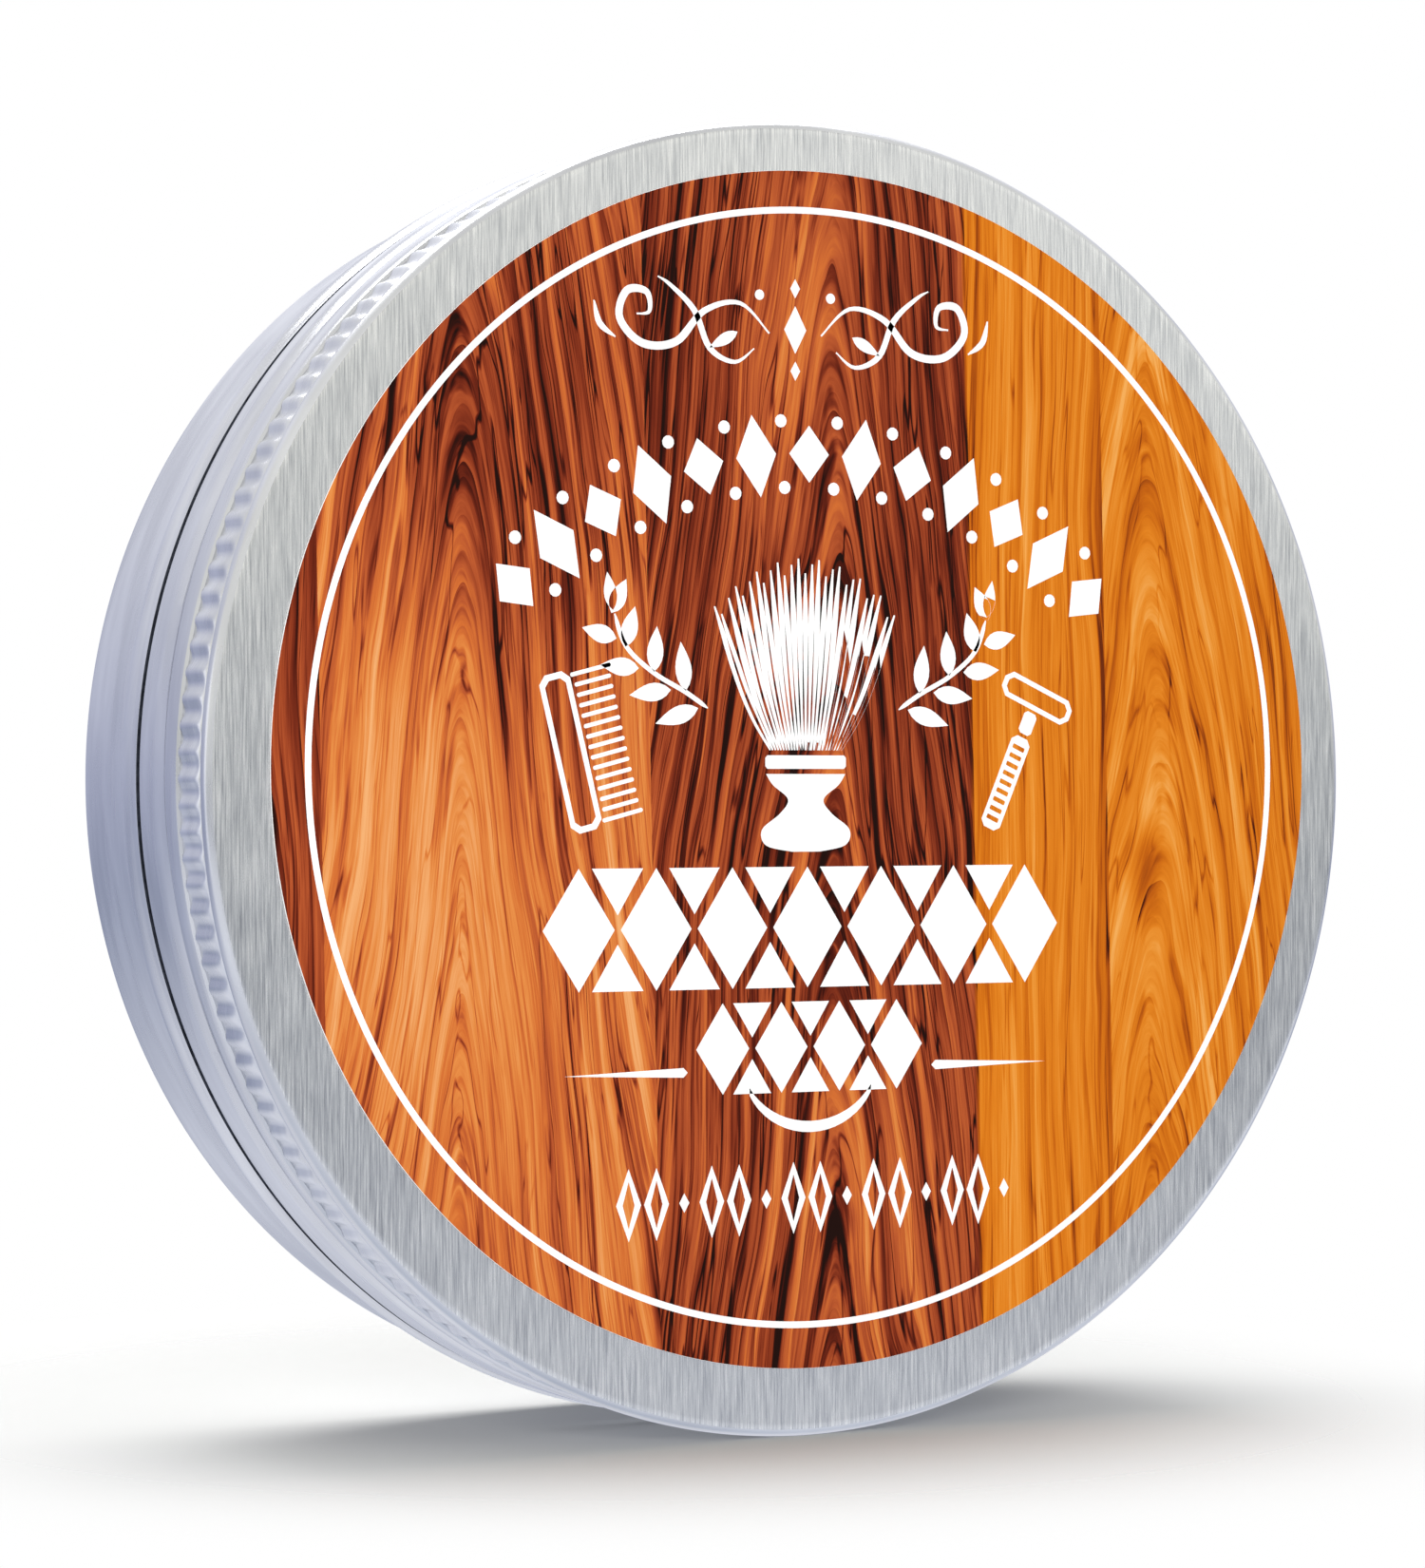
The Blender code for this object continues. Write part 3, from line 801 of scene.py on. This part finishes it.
def print_sprigs(ink):
    """A leafy sprig on each side of the brush."""
    stem = smooth([(7.0, 4.4), (8.6, 5.4), (10.9, 6.6), (12.8, 8.2), (13.6, 10.2)], 6)
    leaves = []
    for i, spot in enumerate(stem[2::3]):
        side = 1 if i % 2 else -1
        lean = 30 + 5.5 * i
        one = leaf(3.2 - 0.12 * i, 1.15)
        leaves.append(placed(one, spot[0] + 0.3, spot[1] + 0.25 * side, lean + 48 * side))
    leaves.append(placed(leaf(2.4, 0.9), 13.7, 10.4, 80))
    stems = [stroke(stem, 0.3, 0.1)]
    for name, group in (("print_sprig_leaves", leaves), ("print_sprig_stems", stems)):
        group = group + [mirrored(shape) for shape in group]
        print_shapes(name, [placed(shape, -0.5, 0) for shape in group], ink)


def print_comb(ink):
    """A small comb, drawn in outline: a hollow back, and teeth of which the end ones are longer."""
    shapes = [block(2.2, 10.0, 0.5), block(1.5, 9.2, 0.35)]
    teeth = 15
    for i in range(teeth):
        length = 2.9 if i in (0, teeth - 1) else 2.6
        shapes.append(placed(block(length, 0.26, 0.08), 2.6, -4.62 + 0.66 * i))
    print_shapes("print_comb", [placed(shape, -17.2, 1.6, 14) for shape in shapes], ink)


def print_razor(ink):
    """A small safety razor with a straight handle, drawn in outline."""
    shapes = [block(5.6, 1.7, 0.5), block(4.9, 1.05, 0.3)]
    shapes = [placed(shape, 0, 4.3) for shape in shapes]
    shapes += [placed(block(1.0, 1.5, 0.2), 0, 2.5), placed(block(1.5, 6.4, 0.35), 0, -1.7)]
    shapes += [placed(block(0.95, 0.3, 0.05), 0, -4.2 + 0.62 * i) for i in range(9)]
    print_shapes("print_razor", [placed(shape, 15.3, 1.3, -24) for shape in shapes], ink)


def harlequin(count, width, height, x, y):
    """A row of diamonds with half diamonds filling in between them, all a hair apart."""
    pitch = width + 0.45
    shapes = []
    for i in range(count):
        here = x + pitch * (i - (count - 1) / 2)
        shapes.append(placed(lozenge(width, height), here, y))
        if i:
            for side in (1, -1):
                base, tip = y + side * height / 2, y + side * height * 0.12
                half = width * 0.36
                middle = here - pitch / 2
                shapes.append([(middle - half, base), (middle + half, base), (middle, tip)])
    return shapes


def print_bands(ink):
    """Two rows of diamonds below the brush, the lower between tapered rules, and a crescent."""
    shapes = harlequin(7, 5.0, 7.6, -0.3, -9.35) + harlequin(4, 3.8, 5.7, -0.1, -16.9)
    rule = [(8.9, 0.0), (9.2, -0.3), (17.6, 0.0), (9.2, 0.3)]
    shapes += [placed(rule, 0, -18.3), placed(mirrored(rule), -0.1, -18.3)]
    print_shapes("print_bands", shapes, ink)
    outer = arc((-0.1, -18.1), (4.9, 4.2), 205, 335, 18)
    inner = arc((-0.1, -17.3), (5.1, 4.3), 331, 209, 18)
    print_shapes("print_crescent", [outer + inner], ink)


def print_foot_row(ink):
    """A fine row near the label's lower edge: pairs of open lozenges with a small one between."""
    shapes = []
    count = 15
    y = -26.4
    for i in range(count):
        x = -13.2 + 27.6 * i / (count - 1)
        if i % 3 == 2:
            shapes.append(placed(lozenge(0.7, 1.2), x, y))
        else:
            shapes += [placed(lozenge(1.75, 4.5), x, y), placed(lozenge(0.85, 3.0), x, y)]
    print_shapes("print_foot_row", shapes, ink)


# ---------------------------------------------------------------------------------------------
# Studio
# ---------------------------------------------------------------------------------------------

FLOOR_FADE = (18.0, 72.0)  # distances from the tin over which the floor fades into the white


def pale_floor():
    """The tin is lit and seen as it stands on its rim: down is -Y, and the floor touches the lip."""
    deselect()
    bpy.ops.mesh.primitive_plane_add(size=6, location=(0, -LID_RADIUS * MM, 0),
                                     rotation=(-math.pi / 2, 0, 0))
    floor = bpy.context.active_object
    floor.name = "floor"
    bpy.ops.object.transform_apply(location=True, rotation=True, scale=True)
    mat, tree, shader = new_material("pale_floor")
    shader.inputs["Base Color"].default_value = linear("#BABAB8")
    shader.inputs["Roughness"].default_value = 0.9
    shader.inputs["Specular IOR Level"].default_value = 0.1
    back = add(tree, "ShaderNodeNewGeometry").outputs["Backfacing"]
    away = add(tree, "ShaderNodeVectorMath", {0: millimetres(tree), 1: (0, -LID_RADIUS, 0)},
               operation="DISTANCE")
    far = share_of(tree, away.outputs["Value"], *FLOOR_FADE, 0.0, 1.0, "SMOOTHSTEP")
    gone = maths(tree, "MAXIMUM", back, far)
    clear = add(tree, "ShaderNodeBsdfTransparent")
    mix = add(tree, "ShaderNodeMixShader", {0: gone, 1: shader.outputs[0], 2: clear.outputs[0]})
    tree.links.new(mix.outputs[0], tree.nodes["Material Output"].inputs["Surface"])
    floor.data.materials.append(mat)
    floor.visible_glossy = False


def studio_world():
    """White to the eye. Metal sees soft grey and blue walls instead: pale above and far below, dark
    at the foot of the front wall, and bluer behind."""
    world = bpy.data.worlds.new("studio")
    bpy.context.scene.world = world
    world.use_nodes = True
    tree = world.node_tree
    direction = add(tree, "ShaderNodeTexCoord").outputs["Generated"]
    height = add(tree, "ShaderNodeSeparateXYZ", {0: direction}).outputs[1]
    share = maths(tree, "MULTIPLY_ADD", height, 0.5, 0.5)
    front = set_ramp(add(tree, "ShaderNodeValToRGB", {0: share}),
                     [(0.0, "#C8D0E0"), (0.40, "#F4F7FF"), (0.445, "#F0F4FF"), (0.462, "#30394A"),
                      (0.482, "#3E495F"), (0.50, "#B4B9C0"), (0.52, "#EEEFEA"), (0.60, "#F8F8F3"),
                      (1.0, "#E2E2E0")])
    behind = set_ramp(add(tree, "ShaderNodeValToRGB", {0: share}),
                      [(0.0, "#F2F4FA"), (0.25, "#E8EBF6"), (0.42, "#A0A8C0"), (0.5, "#B4B9D2"),
                       (0.62, "#D4D7E6"), (0.80, "#F2F3F8"), (1.0, "#E2E2E0")])
    depth = add(tree, "ShaderNodeSeparateXYZ", {0: direction}).outputs[2]
    to_front = share_of(tree, depth, -0.25, 0.25, 0.0, 1.0, "SMOOTHSTEP")
    colour = mixed(tree, to_front, behind, front)
    walls = tree.nodes["Background"]
    rays = add(tree, "ShaderNodeLightPath").outputs
    tree.links.new(colour, walls.inputs["Color"])
    tree.links.new(maths(tree, "MULTIPLY_ADD", rays["Is Diffuse Ray"], -0.45, 1.0), walls.inputs["Strength"])
    white = add(tree, "ShaderNodeBackground", {"Color": (1, 1, 1, 1), "Strength": 1.0})
    mix = add(tree, "ShaderNodeMixShader", {0: rays["Is Camera Ray"], 1: walls.outputs[0],
                                            2: white.outputs[0]})
    tree.links.new(mix.outputs[0], tree.nodes["World Output"].inputs["Surface"])


def lamp(name, place, size, power, mirrored_in_metal=True):
    """A square soft box that faces the tin, given in millimetres and watts."""
    data = bpy.data.lights.new(name, "AREA")
    data.size = size * MM
    data.energy = power
    box = bpy.data.objects.new(name, data)
    bpy.context.scene.collection.objects.link(box)
    box.location = Vector(place) * MM
    box.rotation_euler = (-Vector(place)).to_track_quat("-Z", "Y").to_euler()
    box.visible_glossy = mirrored_in_metal


def camera():
    """A long lens, level with the tin and to the left of its axis."""
    right = Vector((0.86981, -0.00224, 0.49338))
    up = Vector((0.0, 0.99999, 0.00454))
    back = Vector((-0.49338, -0.00395, 0.86980))
    data = bpy.data.cameras.new("camera")
    data.sensor_width = 36
    data.lens = 112.6
    data.clip_start = 0.01
    data.clip_end = 20
    view = bpy.data.objects.new("camera", data)
    bpy.context.scene.collection.objects.link(view)
    place = Vector((-158.24, -1.54, 266.51 + LID_TOP)) * MM
    turned = Matrix((right, up, back)).transposed().to_4x4()
    view.matrix_world = Matrix.Translation(place) @ turned
    bpy.context.scene.camera = view


brushed = brushed_aluminium()
drawn = drawn_aluminium()
white = screen_ink()
lid_shell(brushed, drawn)
tin_shell(drawn, painted_groove_shade())
soap_cake(hard_soap())
foam_liner(foam())
label_film(wood_print(), white)
for print_part in (print_ring, print_flourish, print_arch, print_brush, print_sprigs, print_comb,
                   print_razor, print_bands, print_foot_row):
    print_part(white)
pale_floor()
studio_world()
lamp("top_box", (40, 500, -160), 400, 4.6)
lamp("front_box", (-300, 80, 480), 260, 2.45, mirrored_in_metal=False)
lamp("lip_box", (-300, 80, 480), 260, 0.40)
lamp("right_box", (320, 150, 420), 200, 0.03)
lamp("left_box", (-420, 20, 30), 170, 0.05)
camera()
bpy.context.scene.view_settings.view_transform = "Standard"
